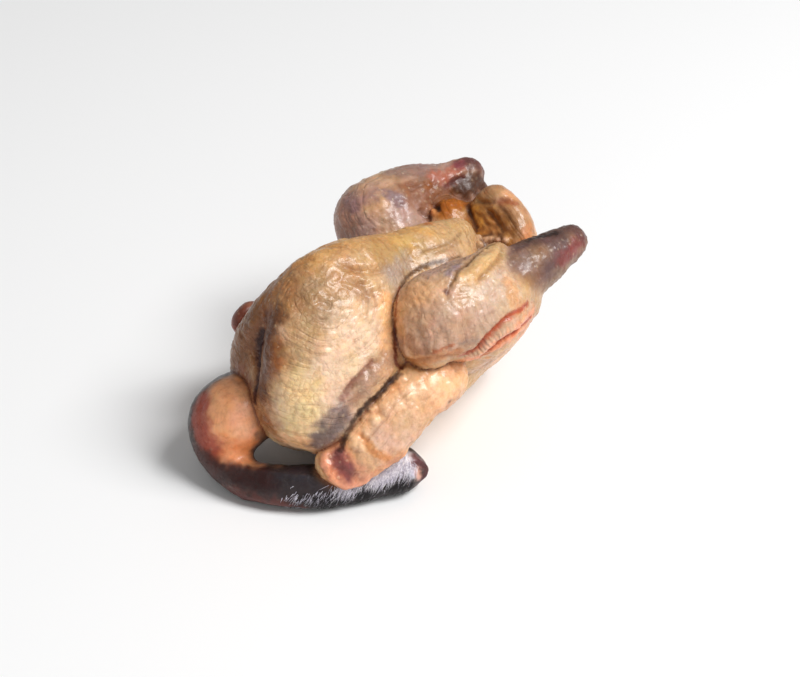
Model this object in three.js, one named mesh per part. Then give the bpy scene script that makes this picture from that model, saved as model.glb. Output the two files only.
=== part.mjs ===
// A raw, dressed guinea fowl, whole: plucked, feet cut off at the hocks, neck and head left on.
// It lies on its back, breast up. Millimetres, the table is z = 0, the tail points to +X and
// the bird's right side, the near side, is -Y. The neck curls round in front of the breast and
// back along the near side, and its head ends under the wrist of the near wing.
import * as THREE from "three";

// Trunk: the back on the table, two breast muscles leaning on the keel bone, a tapering rump.
const TRUNK_LENGTH = 150;
const TRUNK_WIDTH = 78;
const BACK_SQUARENESS = 2.4;
const BREAST_LENGTH = 104;
const BREAST_DEPTH = 112;
const BREAST_THICKNESS = 46;
const BREAST_LEAN = 23;
const BREAST_PITCH = -8;
const KEEL_HEIGHT = 111;

// Legs, wings, neck and head. A radius is half the thickness of the limb.
const KNEE_RADIUS = 22;
const THIGH_RADIUS = 26;
const SHANK_RADIUS = 14;
const HOCK_RADIUS = 10;
const WING_RADIUS = 16;
const WING_FLATNESS = 0.55;
const NECK_RADIUS = 11;
const CROP_RADIUS = 20;
const HEAD_RADIUS = 12.5;

// Blend radii: a soft one where flesh runs on, a tight one where skin folds into a crease.
const SOFT = 12;
const EASY = 8;
const CREASE = 6;

// Mesh: cell of the sampling grid, pieces that a limb is cut into between two named places,
// rounds of evening out the net, and the corners of the grid.
const CELL = 4.9;
const LIMB_STEPS = 4;
const RELAX_ROUNDS = 5;
const GRID_LOW = new THREE.Vector3(-132, -88, -CELL / 2);
const GRID_HIGH = new THREE.Vector3(112, 88, 128);

const SKIN = { color: 0xc39a78, roughness: 0.42, metalness: 0 };

const rad = THREE.MathUtils.degToRad;
const vec = (p) => new THREE.Vector3(...p);

// An egg-shaped mass: centre, half sizes, leaned about its length (roll) and nose up (pitch).
// A squareness above 2 makes it fuller at the corners.
function egg({ at, half, squareness = 2, roll = 0, pitch = 0 }) {
  const turn = new THREE.Matrix4().makeRotationX(rad(-roll));
  turn.multiply(new THREE.Matrix4().makeRotationY(rad(pitch)));
  const q = new THREE.Vector3();
  const slope = new THREE.Vector3();
  const n = squareness;
  return (p) => {
    q.copy(p).sub(at).applyMatrix4(turn).divide(half);
    const x = Math.abs(q.x) + 1e-6;
    const y = Math.abs(q.y) + 1e-6;
    const z = Math.abs(q.z) + 1e-6;
    const size = (x ** n + y ** n + z ** n) ** (1 / n);
    slope.set(x ** (n - 1), y ** (n - 1), z ** (n - 1)).divide(half);
    return (size - 1) / (size ** (1 - n) * slope.length());
  };
}

// The distance to the taut skin round two balls, of radius ra at a and rb at b.
function roundCone(a, b, ra, rb) {
  const axis = b.clone().sub(a);
  const length = axis.length();
  axis.divideScalar(length);
  const sine = (ra - rb) / length;
  const cosine = Math.sqrt(1 - sine * sine);
  const off = new THREE.Vector3();
  return (p) => {
    off.copy(p).sub(a);
    const along = off.dot(axis);
    const aside = Math.sqrt(Math.max(off.lengthSq() - along * along, 0));
    const foot = along * cosine - aside * sine;
    if (foot < 0) return off.length() - ra;
    if (foot > length * cosine) return Math.sqrt(aside ** 2 + (along - length) ** 2) - rb;
    return aside * cosine + along * sine - ra;
  };
}

// A smooth row through points [x, y, z, radius], each span cut into `steps`.
function smoothRow(points, steps) {
  const first = points[0].map((v, i) => 2 * v - points[1][i]);
  const last = points.at(-1).map((v, i) => 2 * v - points.at(-2)[i]);
  const all = [first, ...points, last];
  const row = [];
  for (let span = 1; span < all.length - 2; span++) {
    for (let step = 0; step < steps; step++) {
      row.push(onSpline(all.slice(span - 1, span + 3), step / steps));
    }
  }
  row.push(points.at(-1));
  return row;
}

// The place at t, from 0 to 1, between the middle two of four points of a spline.
function onSpline([before, from, to, after], t) {
  return from.map((v, i) => {
    const bend = 2 * before[i] - 5 * v + 4 * to[i] - after[i];
    const twist = 3 * v - before[i] - 3 * to[i] + after[i];
    return 0.5 * (2 * v + (to[i] - before[i]) * t + bend * t * t + twist * t * t * t);
  });
}

// A limb: round cones end to end along a smooth row of [x, y, z, radius].
function limb(points) {
  const row = smoothRow(points, LIMB_STEPS);
  const cones = row.slice(1).map((end, i) => {
    const start = row[i];
    return roundCone(vec(start.slice(0, 3)), vec(end.slice(0, 3)), start[3], end[3]);
  });
  return (p) => cones.reduce((nearest, cone) => Math.min(nearest, cone(p)), Infinity);
}

// The same limb pressed flat: `flatness` is its thickness over its width, seen along `facing`.
function flatLimb(points, flatness, facing) {
  const normal = vec(facing).normalize();
  const stretch = 1 / flatness - 1;
  const swell = (p) => p.addScaledVector(normal, p.dot(normal) * stretch);
  const swollen = points.map(([x, y, z, r]) => [...swell(vec([x, y, z])).toArray(), r]);
  const round = limb(swollen);
  const q = new THREE.Vector3();
  return (p) => round(swell(q.copy(p)));
}

// Two masses grown together over a rounded valley of width k, or one hollowed by the other.
function join(k, ...masses) {
  const pair = (a, b) => {
    const h = THREE.MathUtils.clamp(0.5 + (0.5 * (b - a)) / k, 0, 1);
    return b + (a - b) * h - k * h * (1 - h);
  };
  return (p) => masses.slice(1).reduce((d, mass) => pair(d, mass(p)), masses[0](p));
}

function hollow(k, mass, scoop) {
  const cut = join(k, (p) => -mass(p), scoop);
  return (p) => -cut(p);
}

function breastMuscle({ side, x, y, thickness, lowFront }) {
  const muscle = egg({
    at: new THREE.Vector3(x, y, BREAST_DEPTH / 2 + 9),
    half: new THREE.Vector3(BREAST_LENGTH / 2, thickness / 2, BREAST_DEPTH / 2),
    roll: side * BREAST_LEAN,
    pitch: BREAST_PITCH,
  });
  return join(EASY + 2, muscle, lowFront);
}

// The keel bone under taut skin: a rounded bar that ends bluntly above the vent.
function keel() {
  return limb([
    [-50, -2, KEEL_HEIGHT - 8, 7],
    [-20, 0, KEEL_HEIGHT - 9, 8.5],
    [14, 0, KEEL_HEIGHT - 11, 10.5],
    [43, 0, KEEL_HEIGHT - 17, 11.5],
  ]);
}

function trunk() {
  const back = egg({
    at: new THREE.Vector3(-11, 0, 44),
    half: new THREE.Vector3(TRUNK_LENGTH / 2, TRUNK_WIDTH / 2, 46),
    squareness: BACK_SQUARENESS,
  });
  const near = breastMuscle({
    side: -1,
    x: -38,
    y: -21,
    thickness: BREAST_THICKNESS + 6,
    lowFront: egg({
      at: new THREE.Vector3(-66, -15, 46),
      half: new THREE.Vector3(26, 22, 25),
    }),
  });
  const far = breastMuscle({
    side: 1,
    x: -35,
    y: 13,
    thickness: BREAST_THICKNESS - 4,
    lowFront: egg({
      at: new THREE.Vector3(-58, 14, 40),
      half: new THREE.Vector3(24, 20, 24),
    }),
  });
  const belly = egg({
    at: new THREE.Vector3(24, -12, 85),
    half: new THREE.Vector3(22, 15, 18),
    pitch: -6,
  });
  return join(SOFT, back, join(EASY, near, far), keel(), belly);
}

// The rump, and the tail end turned up over the vent as a lip round a shallow bowl.
function rump() {
  const root = egg({
    at: new THREE.Vector3(56, 0, 46),
    half: new THREE.Vector3(30, 31, 34),
  });
  const lip = egg({
    at: new THREE.Vector3(76, 2, 76),
    half: new THREE.Vector3(17, 26, 32),
    pitch: -8,
  });
  const tailTip = egg({
    at: new THREE.Vector3(78, 9, 98),
    half: new THREE.Vector3(9, 11, 12),
  });
  const fat = egg({
    at: new THREE.Vector3(60, 26, 84),
    half: new THREE.Vector3(15, 13, 15),
  });
  const bowl = egg({
    at: new THREE.Vector3(57, -4, 106),
    half: new THREE.Vector3(14, 18, 13),
  });
  const pleats = egg({
    at: new THREE.Vector3(46, -24, 54),
    half: new THREE.Vector3(29, 18, 19),
  });
  const vent = hollow(EASY, join(EASY, lip, tailTip, fat), bowl);
  return join(EASY + 2, join(SOFT + 8, root, vent), pleats);
}

// The near leg: knee and thigh in one swollen mass, a flap of loose skin over it, and the
// bare end of the shank that comes out of the skin like a cone out of a cuff.
function nearLeg() {
  const hip = egg({
    at: new THREE.Vector3(26, -30, 62),
    half: new THREE.Vector3(38, 20, 28),
    pitch: -10,
  });
  const thigh = limb([
    [-4, -46, 88, KNEE_RADIUS + 0.5],
    [18, -46, 84, THIGH_RADIUS],
    [42, -42, 81, KNEE_RADIUS - 1],
  ]);
  const flap = limb([
    [4, -50, 107, 4],
    [20, -47, 107, 5],
    [43, -36, 103, 6],
  ]);
  const shank = limb([
    [42, -44, 89, SHANK_RADIUS + 3],
    [66, -44, 94, SHANK_RADIUS - 0.5],
    [87, -43, 98, HOCK_RADIUS - 1],
  ]);
  const knee = egg({
    at: new THREE.Vector3(-14, -49, 76),
    half: new THREE.Vector3(11, 12, 12),
  });
  return join(CREASE - 1, join(EASY, thigh, flap, hip, knee), shank);
}

function farLeg() {
  const hip = egg({
    at: new THREE.Vector3(30, 31, 60),
    half: new THREE.Vector3(36, 23, 32),
    pitch: -10,
  });
  const drumstick = limb([
    [27, 50, 88, KNEE_RADIUS + 1],
    [50, 52, 91, KNEE_RADIUS - 1.5],
    [71, 48, 96, SHANK_RADIUS - 1],
    [87, 45, 100, HOCK_RADIUS - 0.5],
  ]);
  const hockBone = limb([
    [80, 42, 92, HOCK_RADIUS + 1],
    [88, 41, 87, HOCK_RADIUS + 0.5],
  ]);
  return join(CREASE - 1, join(SOFT, drumstick, hip), hockBone);
}

// A folded wing: the flat forearm over the upper arm, from the elbow to the bent wrist.
function nearWing() {
  const forearm = flatLimb(
    [
      [-65, -50, 26, WING_RADIUS - 3],
      [-47, -55.5, 40, WING_RADIUS + 1.5],
      [-22, -54, 53.5, WING_RADIUS + 1],
      [-6, -50, 53.5, WING_RADIUS - 0.5],
    ],
    WING_FLATNESS,
    [-0.45, -0.65, 0.5],
  );
  const wrist = limb([
    [-70, -48, 26, 7.5],
    [-60, -44, 28, 9],
  ]);
  const upperArm = limb([
    [-52, -36, 34, 13],
    [-8, -44, 44, 14],
  ]);
  return join(EASY, forearm, wrist, upperArm);
}

function farWing() {
  const forearm = flatLimb(
    [
      [-62, 46, 62, WING_RADIUS - 6.5],
      [-45, 50, 46, WING_RADIUS - 1],
      [-20, 54, 36, WING_RADIUS + 1],
      [-6, 49, 36, WING_RADIUS - 1],
    ],
    WING_FLATNESS,
    [-0.3, 0.75, 0.4],
  );
  const upperArm = limb([
    [-52, 36, 40, 14],
    [-8, 44, 34, 14],
  ]);
  return join(EASY, forearm, upperArm);
}

// The crop bulges from between the breast muscles and runs on into the neck.
function neckAndHead() {
  const neck = limb([
    [-80, 12, 36, NECK_RADIUS + 6],
    [-98, 14, 30, NECK_RADIUS + 6],
    [-104, 6, 18, NECK_RADIUS + 2.5],
    [-103, -12, 10.5, NECK_RADIUS - 0.5],
    [-93, -28, 10, NECK_RADIUS - 0.5],
    [-76, -43, 10.5, NECK_RADIUS],
    [-56, -51, 10.5, NECK_RADIUS],
    [-36, -57, 12, HEAD_RADIUS],
  ]);
  const crop = egg({
    at: new THREE.Vector3(-94, 6, 34),
    half: new THREE.Vector3(CROP_RADIUS - 1, CROP_RADIUS, CROP_RADIUS),
  });
  const wattle = egg({
    at: new THREE.Vector3(-30, -62, 12),
    half: new THREE.Vector3(7, 6, 7),
  });
  return join(CREASE - 1, join(EASY - 2, neck, crop), wattle);
}

function bird() {
  const torso = join(SOFT, trunk(), rump());
  const legs = join(CREASE, join(CREASE + 1, torso, farLeg()), nearLeg());
  const wings = join(CREASE + 1, join(CREASE, legs, nearWing()), farWing());
  const whole = join(CREASE + 1, wings, neckAndHead());
  return (p) => Math.max(whole(p), -p.z);
}

// The corners of a cell are numbered by bits: 1 for +X, 2 for +Y, 4 for +Z. Its 12 edges run
// along an axis from the corner without that bit, and its 6 faces go round four corners.
const EDGES = [0, 1, 2].flatMap((axis) =>
  [...Array(8).keys()].filter((corner) => !(corner & (1 << axis))).map((corner) => ({
    axis,
    from: corner,
    to: corner | (1 << axis),
  })),
);
const FACES = [0, 1, 2].flatMap((axis) => {
  const b = 1 << ((axis + 1) % 3);
  const c = 1 << ((axis + 2) % 3);
  return [0, 1 << axis].map((side) => [0, b, b | c, c].map((corner) => corner | side));
});

function edgeBetween(p, q) {
  return EDGES.findIndex(({ from, to }) => (from === p && to === q) || (from === q && to === p));
}

// Which crossed edges of a cell belong to one sheet of skin: on every face the edges either
// side of an inside corner are linked, and the rings of links are the sheets.
function sheets(inside) {
  const links = EDGES.map(() => []);
  for (const face of FACES) {
    const crossed = face.map((corner, i) => inside[corner] !== inside[face[(i + 1) % 4]]);
    const edges = face.map((corner, i) => edgeBetween(corner, face[(i + 1) % 4]));
    const cut = edges.filter((edge, i) => crossed[i]);
    if (cut.length === 2) link(links, cut[0], cut[1]);
    if (cut.length === 4) {
      face.forEach((corner, i) => {
        if (inside[corner]) link(links, edges[i], edges[(i + 3) % 4]);
      });
    }
  }
  return rings(links);
}

function link(links, a, b) {
  links[a].push(b);
  links[b].push(a);
}

function rings(links) {
  const seen = new Set();
  const found = [];
  links.forEach((next, start) => {
    if (!next.length || seen.has(start)) return;
    const ring = [];
    const waiting = [start];
    while (waiting.length) {
      const edge = waiting.pop();
      if (seen.has(edge)) continue;
      seen.add(edge);
      ring.push(edge);
      waiting.push(...links[edge]);
    }
    found.push(ring);
  });
  return found;
}

// Distances to the skin at the corners of a grid of cells that holds the whole bird.
function sample(field, low, high) {
  const count = ["x", "y", "z"].map((axis) => Math.ceil((high[axis] - low[axis]) / CELL) + 1);
  const index = (i, j, k) => (k * count[1] + j) * count[0] + i;
  const place = (i, j, k) => new THREE.Vector3(i, j, k).multiplyScalar(CELL).add(low);
  const values = new Float64Array(count[0] * count[1] * count[2]);
  for (let k = 0; k < count[2]; k++) {
    for (let j = 0; j < count[1]; j++) {
      for (let i = 0; i < count[0]; i++) values[index(i, j, k)] = field(place(i, j, k));
    }
  }
  return { count, index, place, values };
}

// Moves a point along the slope of the field onto the skin, at most a third of a cell.
function settle(field, point) {
  const step = 0.4;
  const start = point.clone();
  for (let round = 0; round < 2; round++) {
    const slope = new THREE.Vector3();
    for (const axis of ["x", "y", "z"]) {
      const ahead = point.clone();
      const behind = point.clone();
      ahead[axis] += step;
      behind[axis] -= step;
      slope[axis] = (field(ahead) - field(behind)) / (2 * step);
    }
    const steepness = Math.max(slope.lengthSq(), 1);
    point.addScaledVector(slope, -field(point) / steepness);
  }
  const moved = point.clone().sub(start).clampLength(0, CELL / 3);
  return point.copy(start).add(moved);
}

// One vertex for each sheet of skin in a cell, noted at every grid edge that the sheet cuts.
function placeVertices(field, grid) {
  const vertices = [];
  const corners = new Map();
  const [nx, ny, nz] = grid.count;
  for (let k = 0; k < nz - 1; k++) {
    for (let j = 0; j < ny - 1; j++) {
      for (let i = 0; i < nx - 1; i++) {
        const spot = (c) => [i + (c & 1), j + ((c >> 1) & 1), k + ((c >> 2) & 1)];
        const value = [...Array(8).keys()].map((c) => grid.values[grid.index(...spot(c))]);
        const inside = value.map((v) => v < 0);
        if (inside.every((v) => v === inside[0])) continue;
        for (const ring of sheets(inside)) {
          const middle = new THREE.Vector3();
          for (const edge of ring) {
            const { axis, from, to } = EDGES[edge];
            const share = value[from] / (value[from] - value[to]);
            middle.add(grid.place(...spot(from)).lerp(grid.place(...spot(to)), share));
            const key = grid.index(...spot(from)) * 3 + axis;
            const around = corners.get(key) ?? { axis, outward: inside[from], cells: [] };
            around.cells[cellSlot(axis, from)] = vertices.length;
            corners.set(key, around);
          }
          vertices.push(settle(field, middle.divideScalar(ring.length)));
        }
      }
    }
  }
  return { vertices, corners };
}

// The place of a cell in the ring of four round one of its edges.
function cellSlot(axis, from) {
  const b = (from >> ((axis + 1) % 3)) & 1;
  const c = (from >> ((axis + 2) % 3)) & 1;
  return c ? 2 + (1 - b) : b;
}

// Two triangles for each cut grid edge, split along the shorter diagonal.
function skinFaces(vertices, corners) {
  const triangles = [];
  for (const { outward, cells } of corners.values()) {
    const [a, b, c, d] = outward ? cells : [...cells].reverse();
    const across = vertices[a].distanceTo(vertices[c]) <= vertices[b].distanceTo(vertices[d]);
    if (across) triangles.push(a, b, c, a, c, d);
    else triangles.push(a, b, d, b, c, d);
  }
  return triangles;
}

// Evens out the net: every vertex moves half way to the middle of its neighbours and back
// onto the skin.
function relax(field, vertices, triangles) {
  const neighbours = vertices.map(() => new Set());
  triangles.forEach((vertex, i) => {
    const next = triangles[i % 3 === 2 ? i - 2 : i + 1];
    neighbours[vertex].add(next);
    neighbours[next].add(vertex);
  });
  const targets = vertices.map((vertex, i) => {
    const middle = new THREE.Vector3();
    neighbours[i].forEach((other) => middle.add(vertices[other]));
    return middle.divideScalar(neighbours[i].size).lerp(vertex, 0.5);
  });
  targets.forEach((target, i) => vertices[i].copy(settle(field, target)));
}

function skinGeometry(field, low, high) {
  const { vertices, corners } = placeVertices(field, sample(field, low, high));
  const triangles = skinFaces(vertices, corners);
  for (let round = 0; round < RELAX_ROUNDS; round++) relax(field, vertices, triangles);
  const geometry = new THREE.BufferGeometry().setFromPoints(vertices);
  geometry.setIndex(triangles);
  return geometry;
}

// The bird stands in the middle of its own outline, on the table.
function centreOnTable(geometry) {
  geometry.computeBoundingBox();
  const middle = geometry.boundingBox.getCenter(new THREE.Vector3());
  geometry.translate(-middle.x, -middle.y, 0);
  geometry.computeVertexNormals();
  return geometry;
}

const group = new THREE.Group();
group.name = "guinea_fowl";
const body = new THREE.Mesh(
  centreOnTable(skinGeometry(bird(), GRID_LOW, GRID_HIGH)),
  new THREE.MeshStandardMaterial(SKIN),
);
body.name = "guinea_fowl";
group.add(body);

export default group;
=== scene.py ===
import math
import random

import bpy
import numpy as np
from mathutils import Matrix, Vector


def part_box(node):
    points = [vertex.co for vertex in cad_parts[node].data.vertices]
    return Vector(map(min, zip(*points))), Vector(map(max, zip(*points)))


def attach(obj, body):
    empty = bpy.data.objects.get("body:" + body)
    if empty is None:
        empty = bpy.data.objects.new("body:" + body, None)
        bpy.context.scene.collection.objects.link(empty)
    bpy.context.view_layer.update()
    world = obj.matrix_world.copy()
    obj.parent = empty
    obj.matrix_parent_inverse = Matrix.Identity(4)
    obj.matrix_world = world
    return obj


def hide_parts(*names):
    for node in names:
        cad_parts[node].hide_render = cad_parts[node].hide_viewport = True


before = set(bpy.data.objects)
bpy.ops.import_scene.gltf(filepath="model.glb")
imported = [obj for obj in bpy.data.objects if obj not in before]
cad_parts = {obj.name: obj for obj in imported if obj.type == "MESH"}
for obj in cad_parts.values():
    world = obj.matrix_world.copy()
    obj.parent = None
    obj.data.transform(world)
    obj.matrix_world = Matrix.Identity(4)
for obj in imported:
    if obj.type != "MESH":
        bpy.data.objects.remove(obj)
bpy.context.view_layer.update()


def placed(name, data):
    """An object made of a mesh, a lamp or a camera, put in the scene."""
    made = bpy.data.objects.new(name, data)
    bpy.context.scene.collection.objects.link(made)
    return made


# Camera
# A short telephoto from the bird's breast end and right side, a little over a third of a right
# angle up.
CAMERA_AZIMUTH = math.radians(-36.5)
CAMERA_ELEVATION = math.radians(34)
CAMERA_DISTANCE = 0.9
CAMERA_LENS = 75.7
CAMERA_AIM = Vector((0.0118, -0.0068, 0.05))

towards_camera = Vector((
    math.sin(CAMERA_AZIMUTH) * math.cos(CAMERA_ELEVATION),
    -math.cos(CAMERA_AZIMUTH) * math.cos(CAMERA_ELEVATION),
    math.sin(CAMERA_ELEVATION),
))
camera = placed("camera", bpy.data.cameras.new("camera"))
camera.data.lens = CAMERA_LENS
camera.data.clip_start = 0.01
camera.location = CAMERA_AIM + towards_camera * CAMERA_DISTANCE
camera.rotation_euler = (-towards_camera).to_track_quat("-Z", "Y").to_euler()
bpy.context.scene.camera = camera

# Trunk
# The back lies on the table, and two breast muscles lean on the keel bone, which ends bluntly
# above the vent. All of it is flesh under one loose, greasy skin, so the masses run into each
# other over soft valleys. Places are in the bird's own millimetres, with its tail to +X and its
# right side to -Y.
SOFT = 12
EASY = 8
CREASE = 3


def egg(at, half, squareness=2.0, roll=0, pitch=0):
    """An egg-shaped mass; a squareness above 2 makes it fuller at the corners."""
    lean, nose = math.radians(roll), math.radians(pitch)
    about_x = np.array([
        [1, 0, 0],
        [0, math.cos(lean), math.sin(lean)],
        [0, -math.sin(lean), math.cos(lean)],
    ])
    about_y = np.array([
        [math.cos(nose), 0, math.sin(nose)],
        [0, 1, 0],
        [-math.sin(nose), 0, math.cos(nose)],
    ])
    turn = (about_x @ about_y).T.astype(np.float32)
    middle, size = np.float32(at), np.float32(half)
    n = np.float32(squareness)

    def away(p):
        q = np.abs((p - middle) @ turn) / size + np.float32(1e-6)
        reach = (q**n).sum(1) ** (1 / n)
        slope = reach ** (1 - n) * np.linalg.norm(q ** (n - 1) / size, axis=1)
        return (reach - 1) / slope

    return away


def smooth_row(points, steps=4):
    """Points along a smooth curve through the named ones, with any further values they hold."""
    named = np.array(points, float)
    named = np.vstack([2 * named[0] - named[1], named, 2 * named[-1] - named[-2]])
    t = np.arange(steps)[:, None] / steps
    row = []
    for before, start, end, after in zip(named, named[1:], named[2:], named[3:]):
        bend = 2 * before - 5 * start + 4 * end - after
        twist = 3 * start - before - 3 * end + after
        row.append(0.5 * (2 * start + (end - before) * t + bend * t**2 + twist * t**3))
    return np.vstack(row + [named[-2:-1]])


def limb(points, steps=4):
    """Flesh stretched over a row of balls [x, y, z, radius]."""
    row = smooth_row(points, steps).astype(np.float32)

    def away(p):
        nearest = np.full(len(p), np.inf, np.float32)
        for a, b in zip(row, row[1:]):
            axis = b[:3] - a[:3]
            length = np.linalg.norm(axis)
            sine = (a[3] - b[3]) / length
            cosine = math.sqrt(1 - sine**2)
            off = p - a[:3]
            along = off @ (axis / length)
            square = (off * off).sum(1)
            aside = np.sqrt(np.maximum(square - along**2, 0))
            foot = along * cosine - aside * sine
            span = aside * cosine + along * sine - a[3]
            span = np.where(foot < 0, np.sqrt(square) - a[3], span)
            far_ball = np.sqrt(aside**2 + (along - length) ** 2) - b[3]
            span = np.where(foot > length * cosine, far_ball, span)
            nearest = np.minimum(nearest, span)
        return nearest

    return away


def join(k, *masses):
    """Masses grown together over a rounded valley of width k."""

    def away(p):
        total = masses[0](p)
        for mass in masses[1:]:
            other = mass(p)
            h = np.clip(0.5 + 0.5 * (other - total) / k, 0, 1)
            total = other + (total - other) * h - k * h * (1 - h)
        return total

    return away


back = egg((-11, 0, 44), (75, 39, 46), squareness=2.4)
near_breast = join(
    EASY + 2,
    egg((-38, -21, 65), (52, 26, 56), roll=-23, pitch=-8),
    egg((-66, -15, 46), (26, 22, 25)),
)
far_breast = join(
    EASY + 2,
    egg((-35, 13, 65), (52, 21, 56), roll=23, pitch=-8),
    egg((-58, 14, 40), (24, 20, 24)),
)
keel = limb([(-50, -2, 103, 7), (-20, 0, 102, 8.5), (14, 0, 100, 10.5), (43, 0, 94, 11.5)])
belly = egg((24, -12, 85), (22, 15, 18), pitch=-6)
trunk = join(SOFT, back, join(EASY, near_breast, far_breast), keel, belly)

# A fold is (height, width, points along it), with a height below 0 for a groove. A stain is
# (tone, radius, strength, points along its middle), with the tone written as the eye sees it.
KEEL_LINE = [(10, -14, 105), (18, -14, 105), (25, -14, 104), (33, -13, 104), (39, -9, 103)]
LOWER_KEEL_LINE = [(15, -16, 104), (21, -17, 103), (29, -16, 103), (36, -14, 102)]
BREAST_ROLL = [(-36, -48, 69), (-46, -48, 66), (-54, -49, 62)]
TRUNK_TONE = "d0af8c"
trunk_folds = [
    (-1.8, 2.6, [(-79, -2, 91), (-80, -1, 86), (-83, 0, 73), (-88, -7, 61), (-91, -10, 52)]),
    (1.3, 2.4, [(-31, -44, 76), (-44, -47, 70), (-58, -48, 65), (-70, -46, 58)]),
    (1.1, 2.0, [(-31, -47, 70), (-42, -49, 63), (-54, -50, 59)]),
    (0.8, 2.2, [(-33, -41, 82), (-47, -44, 76), (-60, -45, 70)]),
    (-0.7, 2.6, [(-42, -15, 115), (-27, -20, 110), (-12, -19, 107)]),
    (-0.25, 0.9, KEEL_LINE),
    (-0.2, 0.8, LOWER_KEEL_LINE),
    (0.8, 2.0, [(-39, -19, 113), (-31, -24, 108), (-26, -30, 101)]),
    (0.6, 1.8, [(-46, -20, 112), (-38, -26, 106), (-30, -33, 97)]),
    (-1.1, 1.5, [(-40, -45, 77), (-50, -46, 73), (-57, -46, 69), (-64, -47, 63)]),
    (1.5, 2.6, BREAST_ROLL),
    (-1.0, 1.3, [(-42, -14, 117), (-35, -18, 113), (-24, -21, 109), (-14, -22, 107)]),
    (-0.9, 1.3, [(-46, -20, 112), (-36, -24, 108), (-28, -25, 105)]),
    (-0.8, 1.3, [(-36, -28, 103), (-28, -28, 103), (-21, -27, 103)]),
    (-1.0, 2.0, [(-60, -21, 106), (-55, -27, 103)]),
    (-0.8, 1.6, [(-56, -21, 108), (-51, -25, 105)]),
    (-1.0, 1.8, [(-30, 38, 92), (-46, 40, 82), (-60, 36, 74)]),
    (0.9, 2.2, [(-28, 42, 82), (-44, 43, 74), (-56, 41, 68)]),
    (-0.8, 1.6, [(-14, 36, 92), (-22, 42, 80), (-28, 45, 68)]),
    (-0.8, 2.0, [(-66, 24, 88), (-76, 22, 74), (-80, 22, 62)]),
]
trunk_stains = [
    ("c8985b", 14, 0.8, [(-50, 0, 117), (-20, 0, 115), (10, 0, 112), (40, 4, 105)]),
    # Painted shade, partly the skin's own brown: the front of the breast and the far breast, turned from the
    # light, are stained darker brown.
    ("a5764f", 22, 0.85, [(-70, -12, 104), (-78, -16, 92)]),
    ("8c542c", 13, 0.85, [(-85, -20, 84), (-90, -22, 62), (-92, -22, 46)]),
    ("966840", 20, 0.95, [(-78, 12, 96), (-86, 11, 78), (-88, 14, 60)]),
    # Partly painted light over paler skin: the low middle of the near breast is painted pale cream, its
    # lower front corner pale yellow and its bottom edge light peach, as if all were fully lit.
    ("e4c9b1", 25, 0.95, [(-52, -38, 88), (-68, -42, 72), (-74, -42, 56)]),
    ("a9875b", 9, 0.6, [(-72, -28, 95), (-78, -31, 82)]),
    ("f0d49c", 13, 0.75, [(-83, -36, 66), (-84, -39, 52), (-80, -38, 42)]),
    ("f4c498", 8, 0.9, [(-85, -30, 34), (-80, -38, 36), (-72, -44, 38)]),
    ("9f8366", 12, 0.7, [(-60, -22, 106), (-48, -22, 110)]),
    ("b6915b", 9, 0.7, [(-16, -12, 112), (8, -12, 109)]),
    ("c8a479", 15, 0.85, [(26, -6, 107), (44, -2, 103), (48, -6, 94)]),
    ("b9703c", 3.0, 0.9, [(27, 3, 110)]),
    ("a9988f", 7, 0.7, [(-14, -22, 103), (-2, -18, 104)]),
    ("d4ac68", 4, 0.6, [(-2, -4, 111), (8, -8, 110)]),
    ("d4a05c", 3, 0.6, [(16, 0, 111), (22, -6, 108)]),
    # Painted shade: thin dark lines along the shallow creases beside the keel.
    ("8a6c4a", 1.2, 0.5, KEEL_LINE),
    ("8a6c4a", 1.1, 0.4, LOWER_KEEL_LINE),
    ("f6c492", 4.5, 0.85, [(-25, -31, 97), (-30, -39, 86), (-34, -45, 76)]),
    ("915d3f", 2.5, 0.5, [(-38, -15, 115), (-33, -22, 109)]),
    ("9b7358", 4.5, 0.6, [(-44, -20, 111), (-35, -28, 104)]),
    ("a37e65", 8, 0.8, [(-36, -46, 74), (-52, -47, 67)]),
    ("ba8f70", 3.5, 0.85, BREAST_ROLL),
    ("a08070", 5, 0.7, [(-48, -48, 68), (-58, -48, 61)]),
    ("6c5c5e", 7.5, 0.9, [(-66, -48, 53), (-72, -47, 44), (-75, -44, 37)]),
    ("b09c94", 2.0, 0.6, [(-64, -47, 60), (-72, -46, 50)]),
    ("8e6557", 1.8, 0.85, [(-44, -45, 76), (-57, -46, 69), (-64, -47, 63)]),
    ("c49c70", 9, 0.6, [(-48, -21, 108), (-33, -15, 114)]),
    # Painted shade, partly the skin's own brown: along the groove between the breast muscles and on the far
    # breast, darkest in the groove itself.
    ("5c3822", 7, 0.75, [(-77, -11, 96), (-82, -12, 84), (-88, -15, 72), (-91, -15, 60)]),
    ("6a4830", 7, 0.5, [(-80, 8, 90), (-85, 9, 78), (-87, 12, 66)]),
    ("7a4828", 7, 0.4, [(-78, -2, 95), (-82, -1, 80), (-88, -7, 61)]),
    ("94604a", 5, 0.9, [(-88, 11, 56), (-90, 3, 54), (-90, -6, 50)]),
    ("5a3018", 2.0, 0.6, [(-78, -2, 95), (-79, -2, 90)]),
    ("3a1408", 2.6, 0.95, [(-81, -1, 83), (-83, 0, 73), (-88, -7, 61), (-91, -10, 52)]),
]

# Rump, tail and vent
# The tail end is turned up over the vent as a fleshy lip round a shallow, wrinkled bowl, with a
# lump of grainy orange fat on its far side and the small pale nodules of the oil gland below.
rump_root = egg((56, 0, 46), (30, 31, 34))
lip = egg((76, 2, 76), (17, 26, 32), pitch=-8)
tail_tip = egg((78, 9, 98), (9, 11, 12))
fat = egg((60, 26, 84), (15, 13, 15))
bowl = egg((57, -4, 106), (14, 18, 13))
pleated_skin = egg((46, -24, 54), (29, 18, 19))
turned_up = join(EASY, lip, tail_tip, fat)


def vent(p):
    """The turned-up tail end, hollowed by the bowl."""
    return -join(EASY, lambda q: -turned_up(q), bowl)(p)


rump = join(EASY + 2, join(SOFT + 8, rump_root, vent), pleated_skin)

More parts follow.
